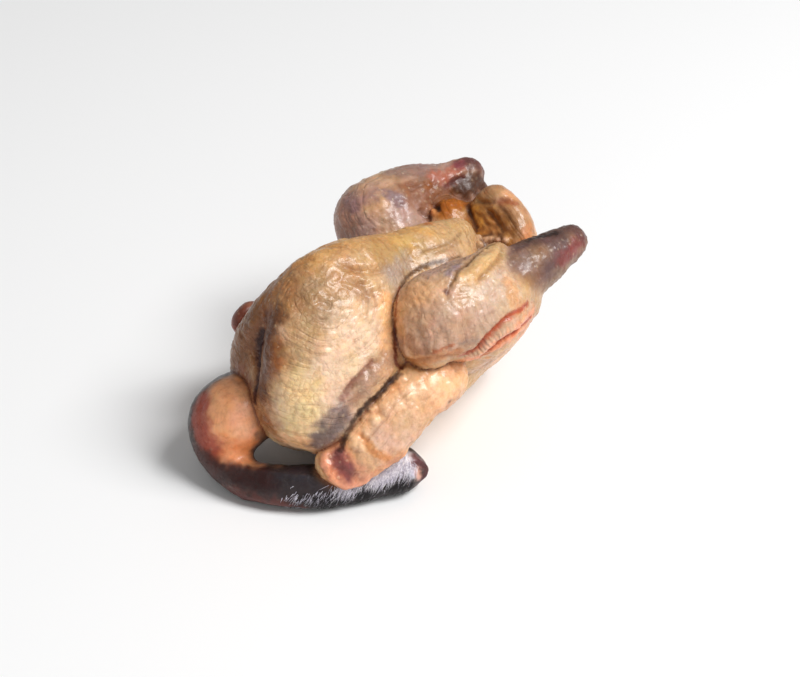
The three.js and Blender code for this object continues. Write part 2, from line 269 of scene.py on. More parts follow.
VENT_EDGE = [(67, 19, 98), (64, 12, 95), (61, 4, 92)]
FAT_SLIT = [(42, 33, 98), (44, 30, 96), (46, 26, 95)]
SECOND_SLIT = [(54, 33, 99), (54, 30, 97), (53, 26, 95)]
FAT_TAG = [(50, 34, 96), (50, 31, 96), (50, 26, 96)]
NODULE_BED = [(56, -6, 88), (53, -9, 90), (49, -11, 94)]
RUMP_TONE = "deb088"
rump_folds = [
    (1.0, 1.5, [(66, 17, 98), (69, 6, 98), (68, -2, 95)]),
    (1.1, 1.7, [(72, 6, 104), (72, -4, 100), (70, -13, 95)]),
    (-0.8, 1.1, [(70, 9, 102), (70, -2, 98), (68, -12, 94)]),
    (-0.5, 1.1, [(74, 2, 104), (74, -8, 101), (73, -16, 96)]),
    (-0.4, 1.1, [(77, -5, 105), (77, -13, 101), (76, -20, 95)]),
    (-1.8, 1.4, VENT_EDGE),
    (-1.6, 1.5, [(66, 15, 104), (69, 13, 103), (71, 6, 104), (73, 2, 106)]),
    (-1.0, 1.8, [(73, 2, 107), (77, -3, 108), (80, -6, 107)]),
    (-2.4, 1.8, FAT_SLIT),
    (-2.2, 1.5, SECOND_SLIT),
    (1.8, 1.8, FAT_TAG),
    (-2.0, 1.8, NODULE_BED),
    (-1.0, 1.7, [(24, -43, 41), (40, -44, 41), (58, -40, 46)]),
    (-1.0, 2.0, [(88, 14, 84), (90, 0, 80), (86, -16, 78)]),
    (-0.9, 1.8, [(88, 16, 66), (89, 0, 62), (84, -18, 58)]),
    (0.8, 2.4, [(84, 20, 52), (86, 2, 48), (80, -20, 46)]),
]
NODULES = [(58, -2, 91), (61, -5, 90), (63, -7, 91), (65, -10, 91), (56, -6, 89), (67, -14, 92)]
rump_stains = [
    ("efb690", 26, 0.9, [(30, -44, 60), (54, -36, 56)]),
    ("a06c36", 12, 0.95, [(64, 8, 97), (68, -4, 97), (68, -12, 94)]),
    ("ae7c48", 3, 0.6, [(66, 2, 96), (68, -8, 95)]),
    ("a87a50", 6, 0.9, [(79, -5, 106), (79, -12, 101), (77, -20, 95)]),
    ("b68a66", 6, 0.9, [(82, -9, 103), (82, -18, 96), (80, -26, 88)]),
    ("cc8a5c", 4, 0.8, [(79, -18, 97), (76, -24, 92)]),
    ("6e4424", 2.0, 0.4, [(72, -2, 102), (71, -11, 96)]),
    ("7a5030", 1.6, 0.5, [(75, 0, 104), (75, -9, 100), (74, -17, 95)]),
    ("b5762a", 4, 0.9, [(67, 13, 98), (66, 10, 96), (60, 2, 94)]),
    ("985410", 9, 0.95, [(56, 26, 98), (66, 25, 98)]),
    ("5c3418", 2.0, 0.8, VENT_EDGE),
    ("9c7450", 6, 0.9, [(74, 12, 108), (73, 16, 104)]),
    ("ac8058", 6, 0.9, [(78, 8, 111), (84, 6, 107)]),
    ("d09a72", 4, 0.9, [(80, 0, 110), (84, 0, 105)]),
    ("8e4c34", 2.0, 0.55, [(74, 0, 107), (77, -3, 108), (80, -6, 107)]),
    # Painted shade: the slits beside the fat and the crevices round the nodules are stained nearly black.
    ("130a07", 2.4, 0.97, FAT_SLIT),
    ("1a0d08", 1.8, 0.95, SECOND_SLIT),
    ("c4824c", 2.4, 0.9, FAT_TAG),
    ("5a3a24", 4.5, 0.8, [(57, -4, 90), (65, -10, 91)]),
    ("1c100a", 2.2, 0.9, NODULE_BED),
] + [("d0a88a", 1.9, 0.9, [place]) for place in NODULES]

# Near leg
# Knee and thigh are one swollen lump. The skin ends as a cuff round the shank, and a flap of
# it is folded over on top. The shank is bare, mauve and pebbled, cut off at the hock.
near_hip = egg((26, -30, 62), (38, 20, 28), pitch=-10)
near_thigh = limb([(-4, -46, 88, 22.5), (18, -46, 84, 26), (42, -42, 81, 21)])
flap = limb([(4, -50, 107, 4), (20, -47, 107, 5), (43, -36, 103, 6)])
near_shank = limb([(42, -44, 89, 17), (66, -44, 94, 13.5), (87, -43, 98, 9)])
near_knee = egg((-14, -49, 76), (11, 12, 12))
near_leg = join(EASY, near_thigh, flap, near_hip, near_knee)

FLAP_EDGE = [(40, -35, 109), (30, -38, 111), (17, -45, 113), (7, -49, 113), (0, -53, 111), (-6, -56, 109)]
CUFF_CREASE = [(39, -66, 89), (21, -71, 90), (14, -72, 87), (7, -72, 83), (4, -70, 78), (-4, -66, 74)]
PLEAT = [(41, -65, 84), (26, -70, 83), (15, -71, 82), (7, -69, 76), (0, -64, 70)]
PLEAT_CREASE = [(42, -65, 79), (28, -69, 77), (20, -71, 78), (11, -68, 71), (8, -58, 60)]
KNEE_WRINKLE = [(-20, -64, 81), (-16, -66, 82), (-11, -68, 84)]
NEAR_LEG_TONE = "c6a48a"
near_leg_folds = [
    (0.8, 3.4, [(40, -38, 110), (28, -47, 111), (16, -52, 111), (6, -55, 110)]),
    (-1.3, 1.1, FLAP_EDGE),
    (-1.0, 1.1, [(43, -39, 109), (35, -47, 109), (24, -53, 110), (14, -57, 109), (9, -58, 108)]),
    (1.0, 2.0, [(42, -44, 108), (34, -53, 106), (29, -61, 102), (33, -65, 97), (38, -66, 91)]),
    (-1.8, 1.5, CUFF_CREASE),
    (1.3, 2.0, PLEAT),
    (-1.7, 1.4, PLEAT_CREASE),
    (1.4, 3.0, [(43, -61, 70), (30, -65, 69), (20, -65, 66), (14, -58, 58)]),
    (-1.2, 1.7, [(-24, -49, 71), (-20, -60, 77), (-8, -66, 76)]),
    (-0.9, 1.5, [(-27, -54, 97), (-25, -58, 90), (-22, -61, 82)]),
    (-0.8, 1.2, [(-6, -56, 109), (-8, -60, 105), (-6, -63, 101)]),
    (-0.5, 0.9, [(-4, -59, 108), (4, -61, 107)]),
    (-0.5, 0.9, [(-5, -61, 106), (4, -63, 105)]),
    (-0.5, 0.9, [(-6, -62, 104), (3, -64, 103)]),
    (-0.7, 1.4, [(-18, -63, 98), (-14, -66, 90), (-13, -67, 82)]),
    (0.9, 1.8, [(-29, -50, 90), (-27, -50, 80), (-24, -50, 72)]),
    (-0.8, 1.2, [(-4, -24, 103), (4, -26, 105), (12, -24, 104)]),
    (-0.5, 1.2, KNEE_WRINKLE),
]
near_leg_stains = [
    ("e8b284", 15, 0.8, [(-22, -46, 102), (-24, -50, 92)]),
    ("c0a393", 17, 0.75, [(-12, -64, 94), (8, -68, 94)]),
    ("a98d8a", 8, 0.75, [(-2, -36, 110), (16, -34, 110)]),
    # Painted highlight: a pale patch on the near side of the leg's lump.
    ("d2bcaa", 11, 0.8, [(14, -62, 104), (26, -62, 100)]),
    ("c49c84", 9, 0.5, [(-22, -58, 88), (-6, -67, 90)]),
    ("9c8a98", 3.2, 0.8, [(2, -48, 113), (10, -44, 113)]),
    ("cf9f74", 5.5, 0.9, [(31, -62, 101), (28, -67, 96), (34, -67, 88)]),
    ("cfa876", 6.5, 0.9, [(42, -37, 109), (28, -47, 111), (16, -52, 111), (8, -54, 110)]),
    # Painted shade: thin dark lines in the grooves along both edges of the flap.
    ("7a5c40", 1.1, 0.7, FLAP_EDGE),
    ("a07c54", 1.2, 0.6, [(43, -39, 109), (35, -47, 109), (24, -53, 110), (14, -57, 109)]),
    ("6c4c40", 1.6, 0.8, [(-6, -56, 109)]),
    ("c08252", 3.4, 0.8, [(-25, -49, 71), (-18, -62, 77), (-6, -67, 77)]),
    ("966240", 2.6, 0.6, [(-28, -53, 87), (-27, -56, 80), (-24, -60, 81), (-20, -63, 81)]),
    ("a8562e", 1.2, 0.6, KNEE_WRINKLE),
    ("8f8088", 2.5, 0.35, [(-4, -69, 84), (2, -71, 84)]),
    ("ee9a70", 6, 0.95, [(41, -64, 80), (28, -69, 79), (17, -70, 77), (8, -66, 71), (4, -60, 64)]),
    ("e8a884", 10, 0.6, [(50, -52, 66), (44, -56, 62)]),
    ("ee8c5c", 5.5, 0.85, [(43, -60, 67), (31, -63, 65), (20, -60, 60)]),
    ("ad4a28", 1.7, 0.9, CUFF_CREASE),
    ("ad4a28", 1.5, 0.9, PLEAT_CREASE),
]
SHANK_TONE = "634a49"
shank_stains = [
    ("584039", 9, 0.85, [(60, -36, 106), (76, -38, 107)]),
    ("7a3c3e", 4.5, 0.85, [(70, -56, 99), (80, -54, 101), (88, -50, 103)]),
    ("8f7460", 6, 0.7, [(50, -57, 88), (66, -56, 90)]),
    ("7c6a6e", 5, 0.6, [(47, -54, 102), (50, -50, 104)]),
    ("5a3e3c", 7, 0.7, [(88, -46, 104), (90, -42, 96)]),
    ("2a1a18", 2.2, 0.85, [(60, -40, 107), (67, -41, 107), (76, -44, 107)]),
]

# Far leg
# The other drumstick, seen from its inner side: mauve skin with pale follicles, a pink streak
# of stretched skin, and the two knuckles of the cut hock with a dark cleft between them.
far_hip = egg((30, 31, 60), (36, 23, 32), pitch=-10)
far_drum = limb([(27, 50, 88, 23), (50, 52, 91, 20.5), (71, 48, 96, 13), (87, 45, 100, 9.5)])
far_knuckle = limb([(80, 42, 92, 11), (88, 41, 87, 10.5)])
far_leg = join(CREASE - 1, join(SOFT, far_drum, far_hip), far_knuckle)

FAR_LEG_TONE = "ab8c84"
far_leg_folds = [
    (-0.8, 1.8, [(66, 37, 103), (71, 37, 104), (78, 38, 104), (84, 39, 106)]),
    (-0.8, 1.8, [(52, 36, 104), (58, 38, 106), (60, 44, 109)]),
    (-0.8, 1.3, [(14, 50, 106), (26, 46, 109), (38, 44, 110)]),
    (-0.8, 1.6, [(18, 70, 84), (40, 72, 84), (62, 62, 88)]),
    (-0.9, 1.8, [(24, 56, 60), (40, 56, 56), (54, 50, 54)]),
]
far_leg_stains = [
    ("b58877", 13, 0.7, [(8, 52, 98), (14, 56, 92)]),
    ("94757b", 8, 0.8, [(12, 50, 105), (22, 47, 109)]),
    ("bd967c", 9, 0.6, [(24, 52, 111), (40, 48, 112)]),
    ("8a716e", 10, 0.7, [(46, 54, 111), (58, 50, 110)]),
    ("77606a", 5, 0.8, [(30, 40, 107), (33, 36, 105)]),
    ("85583e", 9, 0.9, [(44, 38, 106), (56, 36, 103), (66, 34, 101)]),
    ("b06a58", 4.5, 0.9, [(62, 43, 108), (68, 39, 105), (75, 41, 107), (80, 43, 109)]),
    ("8c5020", 3.0, 0.8, [(55, 39, 107)]),
    ("7c3848", 4, 0.85, [(80, 44, 109), (85, 44, 109)]),
    ("5c3a38", 6.5, 0.92, [(88, 43, 109), (94, 42, 104)]),
    ("4a2c1c", 7, 0.95, [(76, 35, 100), (82, 34, 99), (88, 36, 94), (88, 40, 84)]),
    # Painted shade: a thin dark line in the cleft between the knuckles.
    ("54201e", 1.8, 0.6, [(66, 37, 103), (71, 37, 104), (78, 38, 104)]),
]

# Wings
# A folded wing is a slab: the flat forearm laid over the upper arm, from the elbow to the bent
# wrist. The stubs of the flight feathers swell the skin along its upper edge.
WING_FLATNESS = 0.55


def flat_limb(points, facing):
    """A limb pressed flat, seen broad along `facing`."""
    normal = np.float32(facing) / np.linalg.norm(facing)
    stretch = np.float32(1 / WING_FLATNESS - 1)

    def swell(p):
        return p + np.outer(p @ normal * stretch, normal)

    named = np.float32(points)
    named[:, :3] = swell(named[:, :3])
    round_limb = limb(named)
    return lambda p: round_limb(swell(p))


NEAR_WING_FACING = (-0.45, -0.65, 0.5)
NEAR_WING_ALONG = (57, 3, 33)
near_forearm = flat_limb(
    [(-65, -50, 26, 13), (-47, -55.5, 40, 17.5), (-22, -54, 53.5, 17), (-6, -50, 53.5, 15.5)],
    facing=NEAR_WING_FACING,
)
near_wrist = limb([(-70, -48, 26, 7.5), (-60, -44, 28, 9)], steps=1)
near_arm = limb([(-52, -36, 34, 13), (-8, -44, 44, 14)], steps=1)
near_wing = join(EASY, near_forearm, near_wrist, near_arm)
far_forearm = flat_limb(
    [(-62, 46, 62, 9.5), (-45, 50, 46, 15), (-20, 54, 36, 17), (-6, 49, 36, 15)],
    facing=(-0.3, 0.75, 0.4),
)
far_arm = limb([(-52, 36, 40, 14), (-8, 44, 34, 14)], steps=1)
far_wing = join(EASY, far_forearm, far_arm)

NEAR_WING_TONE = "e5b88c"
near_wing_folds = [
    (2.0, 2.4, [(-74, -44, 35), (-78, -52, 28), (-74, -58, 19), (-64, -64, 17), (-53, -70, 24)]),
    (-1.2, 2.6, [(-71, -48, 33), (-72, -55, 27), (-66, -59, 24)]),
    (-1.8, 5.0, [(-14, -69, 46), (-28, -71, 38), (-42, -72, 30)]),
]
near_wing_stains = [
    ("f3c09b", 16, 0.8, [(-8, -60, 64), (-22, -66, 58)]),
    ("ddb9ae", 12, 0.75, [(-50, -62, 42), (-40, -66, 44)]),
    ("d9b08c", 10, 0.7, [(-40, -62, 52), (-30, -64, 56)]),
    ("d9976a", 6, 0.6, [(-64, -52, 41), (-52, -52, 52), (-36, -51, 60)]),
    ("d08a52", 2.4, 0.8, [(-60, -55, 46), (-55, -60, 36), (-50, -64, 32)]),
    ("c97f6a", 9, 0.75, [(-70, -55, 30), (-68, -60, 22)]),
    ("d28a6c", 4.5, 0.85, [(-72, -46, 36), (-76, -52, 29), (-72, -58, 21), (-64, -62, 18)]),
    ("7a3f44", 4.5, 0.85, [(-70, -52, 32), (-69, -58, 25)]),
    ("d99a78", 4, 0.8, [(-62, -64, 19), (-53, -70, 24), (-44, -73, 30)]),
    ("77503a", 1.6, 0.7, [(-10, -68, 49)]),
]
STUB_ROWS = [
    (7, [(-65, -50, 41), (-60, -50, 49), (-50, -50, 56), (-40, -50, 61), (-28, -49, 64)]),
    (6, [(-64, -55, 36), (-57, -56, 45), (-47, -56, 52), (-39, -57, 57), (-28, -58, 61)]),
]
STUB_RADIUS = 3.9
FAR_WING_TONE = "b98e6c"
far_wing_stains = [
    ("723a2c", 14, 0.95, [(-66, 44, 64), (-58, 50, 54)]),
    ("bc5f4c", 5, 0.7, [(-70, 46, 58)]),
]

# Crop, neck and head
# The crop bulges out between the breast muscles and runs on into the neck, which lies on the
# table as a dark curl. The head is tucked under the near wrist: bare lilac cheek, maroon wattle.
crop = egg((-94, 6, 34), (19, 20, 20))
neck_tube = limb([
    (-80, 12, 36, 17),
    (-98, 14, 30, 17),
    (-104, 6, 18, 13.5),
    (-103, -12, 10.5, 10.5),
    (-93, -28, 10, 10.5),
    (-76, -43, 10.5, 11),
    (-56, -51, 10.5, 11),
    (-36, -57, 12, 12.5),
])
wattle = egg((-30, -62, 12), (7, 6, 7))
neck = join(CREASE - 1, join(EASY - 2, neck_tube, crop), wattle)

NECK_TONE = "2e2427"
neck_folds = [
    (1.2, 1.3, [(-34, -66, 23), (-28, -67, 20), (-25, -67, 12), (-30, -68, 7)]),
    (-1.2, 1.6, [(-31, -68, 17), (-30, -69, 12)]),
    (0.9, 2.2, [(-113, -8, 18), (-100, -24, 19), (-90, -36, 20), (-80, -46, 20)]),
    (0.8, 2.0, [(-108, -20, 8), (-94, -38, 7), (-78, -50, 6)]),
]
neck_stains = [
    ("fab689", 22, 1.0, [(-100, -2, 46), (-106, -6, 36)]),
    ("d69a6f", 12, 0.7, [(-102, 8, 52), (-106, 4, 46)]),
    ("f0b090", 7, 0.8, [(-98, -10, 50), (-100, -12, 40)]),
    ("f29a66", 7, 0.95, [(-113, -4, 30), (-108, -9, 28), (-101, -14, 28)]),
    ("9c412d", 8, 0.9, [(-112, 14, 44), (-118, 6, 34), (-118, 0, 26)]),
    ("321a1a", 7, 0.95, [(-117, -2, 13), (-110, -17, 15), (-100, -30, 16)]),
    ("46201a", 6, 0.9, [(-118, 6, 20), (-115, -5, 15)]),
    ("63302a", 5, 0.8, [(-112, -14, 6), (-100, -34, 6), (-90, -44, 6)]),
    ("2c2830", 7, 0.7, [(-92, -34, 20), (-78, -46, 21)]),
    ("c6bfd1", 5.0, 0.9, [(-66, -58, 20), (-54, -62, 21), (-42, -66, 23), (-36, -68, 25)]),
    ("e0e5fa", 9, 0.95, [(-38, -68, 27), (-34, -68, 22)]),
    ("4c2226", 4.5, 0.9, [(-30, -67, 22), (-25, -67, 14), (-30, -67, 6)]),
    ("d8a8a0", 2.6, 0.9, [(-32, -69, 16), (-32, -69, 12)]),
]

# The skin
# One closed skin over all the masses: a net of small cells is laid round them, drawn tight
# onto the flesh and evened out, then moved in and out for folds, lumps and follicles.
CELL = 1.05
ROUGH_STEP = 4
SURE_BAND = 3.2
NET_LOW = np.float32([-132, -88, -3.25])
NET_HIGH = np.float32([112, 88, 128])
CHUNK = 16384

torso = join(SOFT, trunk, rump)
leg_and_shank = join(CREASE - 1, near_leg, near_shank)
flesh = join(CREASE, join(CREASE + 1, torso, far_leg), leg_and_shank)
flesh = join(CREASE + 1, join(CREASE, flesh, near_wing), far_wing, neck)


def bird(p):
    """How far a point is from the skin, the flat patches on the table included."""
    return np.maximum(flesh(p), -p[:, 2])


def measured(field, points):
    """The field at many points, a chunk at a time."""
    flat = np.ascontiguousarray(points.reshape(-1, 3), np.float32)
    parts = [field(flat[i:i + CHUNK]) for i in range(0, len(flat), CHUNK)]
    return np.concatenate(parts).reshape(points.shape[:-1])


def slope_of(field, points, here, step=0.4):
    """How steeply the field rises along each axis, given its values at the points."""
    ahead = [measured(field, points + np.float32(step) * axis) for axis in np.eye(3, dtype=np.float32)]
    return np.stack([value - here for value in ahead], -1) / np.float32(step)


def settled(field, points, rounds=1, furthest=CELL):
    """The points moved along the slope of the field onto the skin."""
    moved = points.astype(np.float32)
    for _ in range(rounds):
        here = measured(field, moved)
        slope = slope_of(field, moved, here)
        steep = np.maximum((slope**2).sum(-1), 1)
        moved = moved - slope * (here / steep)[..., None]
    shift = moved - points
    size = np.linalg.norm(shift, axis=-1, keepdims=True) + 1e-9
    return points + shift * np.minimum(1, furthest / size)


def finer(values, axis, count):
    """Coarse samples filled in along one axis by straight lines between them."""
    at = np.arange(count) / ROUGH_STEP
    low = at.astype(int)
    part = (at - low).astype(np.float32)
    part = part.reshape([-1 if a == axis else 1 for a in range(3)])
    return values.take(low, axis) * (1 - part) + values.take(low + 1, axis) * part


def skin_net():
    """Points and four-sided faces of the skin: one point in each cell that the skin cuts."""
    axes = [np.arange(low, high, CELL, dtype=np.float32) for low, high in zip(NET_LOW, NET_HIGH)]
    grid = np.stack(np.meshgrid(*axes, indexing="ij"), -1)
    coarse = [
        low + CELL * ROUGH_STEP * np.arange(len(axis) // ROUGH_STEP + 2, dtype=np.float32)
        for low, axis in zip(NET_LOW, axes)
    ]
    values = measured(bird, np.stack(np.meshgrid(*coarse, indexing="ij"), -1))
    nx, ny, nz = grid.shape[:3]
    for axis, count in enumerate((nx, ny, nz)):
        values = finer(values, axis, count)
    near = np.abs(values) < SURE_BAND
    values[near] = measured(bird, grid[near])
    inside = values < 0

    corners = [(c & 1, c >> 1 & 1, c >> 2 & 1) for c in range(8)]
    count = sum(
        inside[i:nx - 1 + i, j:ny - 1 + j, k:nz - 1 + k].astype(np.int8) for i, j, k in corners
    )
    cells = np.argwhere((count > 0) & (count < 8))
    number = np.full((nx - 1, ny - 1, nz - 1), -1, np.int64)
    number[tuple(cells.T)] = np.arange(len(cells))

    total = np.zeros((len(cells), 3), np.float32)
    cuts = np.zeros(len(cells), np.float32)
    for axis in range(3):
        for corner in corners:
            if corner[axis]:
                continue
            start = cells + corner
            end = start + np.eye(3, dtype=int)[axis]
            a, b = values[tuple(start.T)], values[tuple(end.T)]
            cut = (a < 0) != (b < 0)
            share = np.where(cut, a / np.where(cut, a - b, 1), 0)
            at = grid[tuple(start.T)]
            at[:, axis] += share * CELL
            total += at * cut[:, None]
            cuts += cut
    points = total / cuts[:, None]

    faces = []
    for axis in range(3):
        b, c = (axis + 1) % 3, (axis + 2) % 3
        low = [slice(None)] * 3
        high = [slice(None)] * 3
        low[axis], high[axis] = slice(None, -1), slice(1, None)
        first, second = inside[tuple(low)], inside[tuple(high)]
        edge = np.argwhere(first != second)
        leaves = first[tuple(edge.T)]
        step_b, step_c = np.eye(3, dtype=int)[b], np.eye(3, dtype=int)[c]
        ring = [edge - step_b - step_c, edge - step_c, edge, edge - step_b]
        quad = np.stack([number[tuple(r.T)] for r in ring], 1)
        quad[~leaves] = quad[~leaves][:, ::-1]
        faces.append(quad)
    return points, np.vstack(faces)


def evened(points, faces):
    """Each point half way to the middle of its neighbours."""
    a = faces.ravel()
    b = np.roll(faces, -1, axis=1).ravel()
    total = np.zeros_like(points, np.float64)
    for axis in range(3):
        total[:, axis] += np.bincount(a, points[b, axis], len(points))
        total[:, axis] += np.bincount(b, points[a, axis], len(points))
    ends = np.bincount(a, minlength=len(points)) + np.bincount(b, minlength=len(points))
    return (0.5 * points + 0.5 * total / ends[:, None]).astype(np.float32)


def outward(points, faces):
    """The unit normal at every point."""
    p = points[faces]
    face_normal = np.cross(p[:, 2] - p[:, 0], p[:, 3] - p[:, 1])
    normal = np.zeros((len(points), 3))
    for corner in range(4):
        for axis in range(3):
            normal[:, axis] += np.bincount(faces[:, corner], face_normal[:, axis], len(points))
    return normal / (np.linalg.norm(normal, axis=1, keepdims=True) + 1e-12)


points, faces = skin_net()
points = settled(bird, points)
for _ in range(2):
    points = settled(bird, evened(points, faces))
normals = outward(points, faces)

# Each part of the skin takes the tone and the stains of the mass below it. Creases are drawn
# only where loose parts meet: the rump is part of the trunk, and the shank of the leg.
pieces = {
    "trunk": (trunk, TRUNK_TONE, trunk_stains),
    "rump": (rump, RUMP_TONE, rump_stains),
    "near_leg": (near_leg, NEAR_LEG_TONE, near_leg_stains),
    "shank": (near_shank, SHANK_TONE, shank_stains),
    "far_leg": (far_leg, FAR_LEG_TONE, far_leg_stains),
    "near_wing": (near_wing, NEAR_WING_TONE, near_wing_stains),
    "far_wing": (far_wing, FAR_WING_TONE, far_wing_stains),
    "neck": (neck, NECK_TONE, neck_stains),
}
BORDER = 1.1
gaps = np.stack([measured(mass, points) for mass, _, _ in pieces.values()], 1)
gaps -= gaps.min(1, keepdims=True)
loose = np.column_stack([gaps[:, :2].min(1), gaps[:, 2:4].min(1), gaps[:, 4:]])
meeting = np.sort(loose, axis=1)[:, 1]
shares = np.exp(-gaps / BORDER)
shares /= shares.sum(1, keepdims=True)
share = {name: shares[:, i] for i, name in enumerate(pieces)}


def spread(**amounts):
    """How much of a thing each skin point has, from how much of it each piece has."""
    return sum(amount * share[name] for name, amount in amounts.items())


def fading(distance, width):
    """1 where the distance is 0, fading softly within about the width."""
    return np.exp(-((distance / width) ** 2))


def within(middle, half):
    """1 at the middle of a round region, fading towards its border."""
    return fading(np.linalg.norm((points - middle) / half, axis=1), 1)


def scrambled(cell, salt):
    """A random number from 0 to 1 for each whole-numbered cell."""
    mixed = np.sin(cell @ np.array([127.1, 311.7, 74.7]) + salt * 57.3) * 43758.5453
    return mixed - np.floor(mixed)


def ripple(p, size, salt=0):
    """Smooth random unevenness about `size` across, from -1 to 1."""
    q = p / size + salt * 3.17
    base = np.floor(q)
    t = q - base
    t = t * t * (3 - 2 * t)
    total = np.zeros(len(p))
    for c in range(8):
        corner = np.array([c & 1, c >> 1 & 1, c >> 2 & 1])
        weight = np.where(corner, t, 1 - t).prod(1)
        total += weight * scrambled(base + corner, salt)
    return total * 2 - 1


def pimples(p, spacing, radius, salt=0):
    """Round bumps scattered about `spacing` apart: 1 on top of one, 0 past its radius."""
    q = p / spacing
    base = np.floor(q)
    height = np.zeros(len(p))
    for i in (-1, 0, 1):
        for j in (-1, 0, 1):
            for k in (-1, 0, 1):
                cell = base + (i, j, k)
                centre = cell + np.stack([scrambled(cell, salt + s) for s in (1, 2, 3)], 1)
                away = np.linalg.norm(q - centre, axis=1) * spacing
                height = np.maximum(height, 1 - (away / radius) ** 2)
    return height


def away_from(path, p):
    """How far each point is from a smooth path, and how far along it the nearest place is."""
    row = smooth_row(path) if len(path) > 1 else np.array([path[0], path[0]], float)
    nearest = np.full(len(p), np.inf)
    along = np.zeros(len(p))
    for i, (a, b) in enumerate(zip(row, row[1:])):
        axis = b - a
        t = np.clip((p - a) @ axis / max(axis @ axis, 1e-9), 0, 1)
        away = np.linalg.norm(p - a - t[:, None] * axis, axis=1)
        closer = away < nearest
        along[closer] = (i + t[closer]) / (len(row) - 1)
        nearest[closer] = away[closer]
    return nearest, along


def laid_on_skin(path):
    """The named points of a fold or stain, moved onto the skin."""
    return settled(bird, np.float32(path), rounds=3, furthest=8)


def around(path, reach):
    """The numbers of the skin points within reach of a path."""
    low, high = path.min(0) - reach, path.max(0) + reach
    return np.flatnonzero(((points > low) & (points < high)).all(1))


folds = trunk_folds + rump_folds + near_leg_folds + far_leg_folds + near_wing_folds + neck_folds
height = np.zeros(len(points))
for fold_height, width, path in folds:
    path = laid_on_skin(path)
    here = around(path, width * 4)
    away, along = away_from(path, points[here])
    taper = np.clip(np.minimum(along, 1 - along) * 6, 0.15, 1)
    wobble = 1 + 0.3 * ripple(points[here], 5, 8)
    height[here] += fold_height * taper * wobble * fading(away, width)

CREASE_DEPTH = 1.2
height -= CREASE_DEPTH * fading(meeting, 1.0)

LUMPS = 0.6
for part, size, salt in ((0.7, 16, 1), (0.6, 8, 2), (0.35, 4.5, 3)):
    height += LUMPS * part * ripple(points, size, salt)
cobbles = np.minimum(np.abs(ripple(points, 7, 4)) * 4, 1) + np.minimum(np.abs(ripple(points, 4, 14)) * 4, 1)
height += (cobbles - 1.5) * spread(trunk=0.35, near_leg=0.45, near_wing=0.4, far_leg=0.3)
goose = pimples(points, 4.6, 1.9, 5)
height += goose * spread(trunk=0.3, near_wing=0.5, near_leg=0.35, far_leg=0.35)
height += pimples(points, 3.2, 1.6, 6) * spread(shank=0.45, rump=0.2)

# The stubs of the feathers are oval, longer across the wing than along it.
STUB_HEIGHT = 1.7
across_wing = np.cross(NEAR_WING_ALONG, NEAR_WING_FACING)
across_wing /= np.linalg.norm(across_wing)
draw = random.Random(5)
stubs = np.zeros(len(points))
for count, path in STUB_ROWS:
    row = smooth_row(laid_on_skin(path), 16)
    for i in range(count):
        centre = row[round((i + 0.5) / count * (len(row) - 1))]
        centre = centre + [draw.uniform(-1.2, 1.2), draw.uniform(-0.6, 0.6), draw.uniform(-1.2, 1.2)]
        off = points - centre
        away2 = (off**2).sum(1) - 0.55 * (off @ across_wing) ** 2
        size = STUB_RADIUS * draw.uniform(0.75, 1.15)
        stubs = np.maximum(stubs, draw.uniform(0.5, 1) * np.clip(1 - away2 / size**2, 0, 1))
stubs *= share["near_wing"]
height += STUB_HEIGHT * stubs

# The vent's bowl is wrinkled, the fat beside it is grainy, and the nodules stand up from its rim.
BOWL_MIDDLE, BOWL_HALF = (68, 0, 98), (12, 20, 12)
FAT_MIDDLE, FAT_HALF = (60, 27, 98), 9
CROP_MIDDLE, CROP_HALF = (-100, 0, 42), 22
WRINKLE_RUN = np.array([0, -0.88, -0.47])
WRINKLE_STRETCH = 0.42
in_bowl = within(BOWL_MIDDLE, BOWL_HALF) * share["rump"]
stretched = points - WRINKLE_STRETCH * np.outer(points @ WRINKLE_RUN, WRINKLE_RUN)
wrinkled = 0.9 * ripple(stretched, 3.0, 9) + 0.7 * ripple(stretched, 1.7, 15)
height += in_bowl * wrinkled
on_fat = within(FAT_MIDDLE, FAT_HALF) * share["rump"]
height += on_fat * (pimples(points, 2.8, 1.6, 10) * 1.1 + 1.0)
for place in NODULES:
    away, _ = away_from(laid_on_skin([place]), points)
    height += 1.6 * fading(away, 1.7)

# Fine lines of stretched skin run their own way on each piece, round a centre or straight on.
# `run` counts the millimetres across them, and `lines` says how strongly they show.
on_crop = within(CROP_MIDDLE, CROP_HALF) * share["neck"]
on_crop_border = 1 - np.clip(np.abs(on_crop - 0.4) * 6, 0, 1)
crop_turn = np.arctan2(points[:, 1] - 6, points[:, 0] + 94) * CROP_HALF
runs = {
    "trunk": np.linalg.norm(points - (-58, -23, 106), axis=1),
    "rump": points @ np.array([1.05, -0.48, 0.9]),
    "near_leg": np.linalg.norm(points - (30, -60, 95), axis=1),
    "shank": points[:, 0],
    "far_leg": points @ np.array([0.1, -0.55, 0.8]),
    "near_wing": points @ across_wing,
    "far_wing": points[:, 2],
    "neck": np.where(on_crop > 0.4, crop_turn, points[:, 2]),
}
LINE_STRENGTH = {
    "trunk": 0.5, "rump": 0.3, "near_leg": 0.3, "shank": 0.3,
    "far_leg": 0.6, "near_wing": 0.45, "far_wing": 0.5, "neck": 0.12,
}
run = sum(runs[name] * share[name] for name in pieces)
lines = sum(LINE_STRENGTH[name] * np.clip(share[name] * 2 - 1, 0, 1) for name in pieces)
lines *= 1 - share["neck"] * on_crop_border
lines *= 1 - 0.5 * in_bowl

# The pleat under the cuff of the near leg is ribbed across, and there `run` counts along it.
PLEAT_LENGTH = 52
off_pleat, along_pleat = away_from(laid_on_skin(PLEAT), points)
ribs = fading(off_pleat, 3.0) * share["near_leg"]
in_rib = ribs > 0.02
run[in_rib] = (along_pleat * PLEAT_LENGTH)[in_rib]
lines *= 1 - np.clip(ribs * 3, 0, 1)

skin_points = points + normals * height[:, None]
skin_points[:, 2] = np.maximum(skin_points[:, 2], 0)
skin_points[points[:, 2] < 0.05, 2] = 0


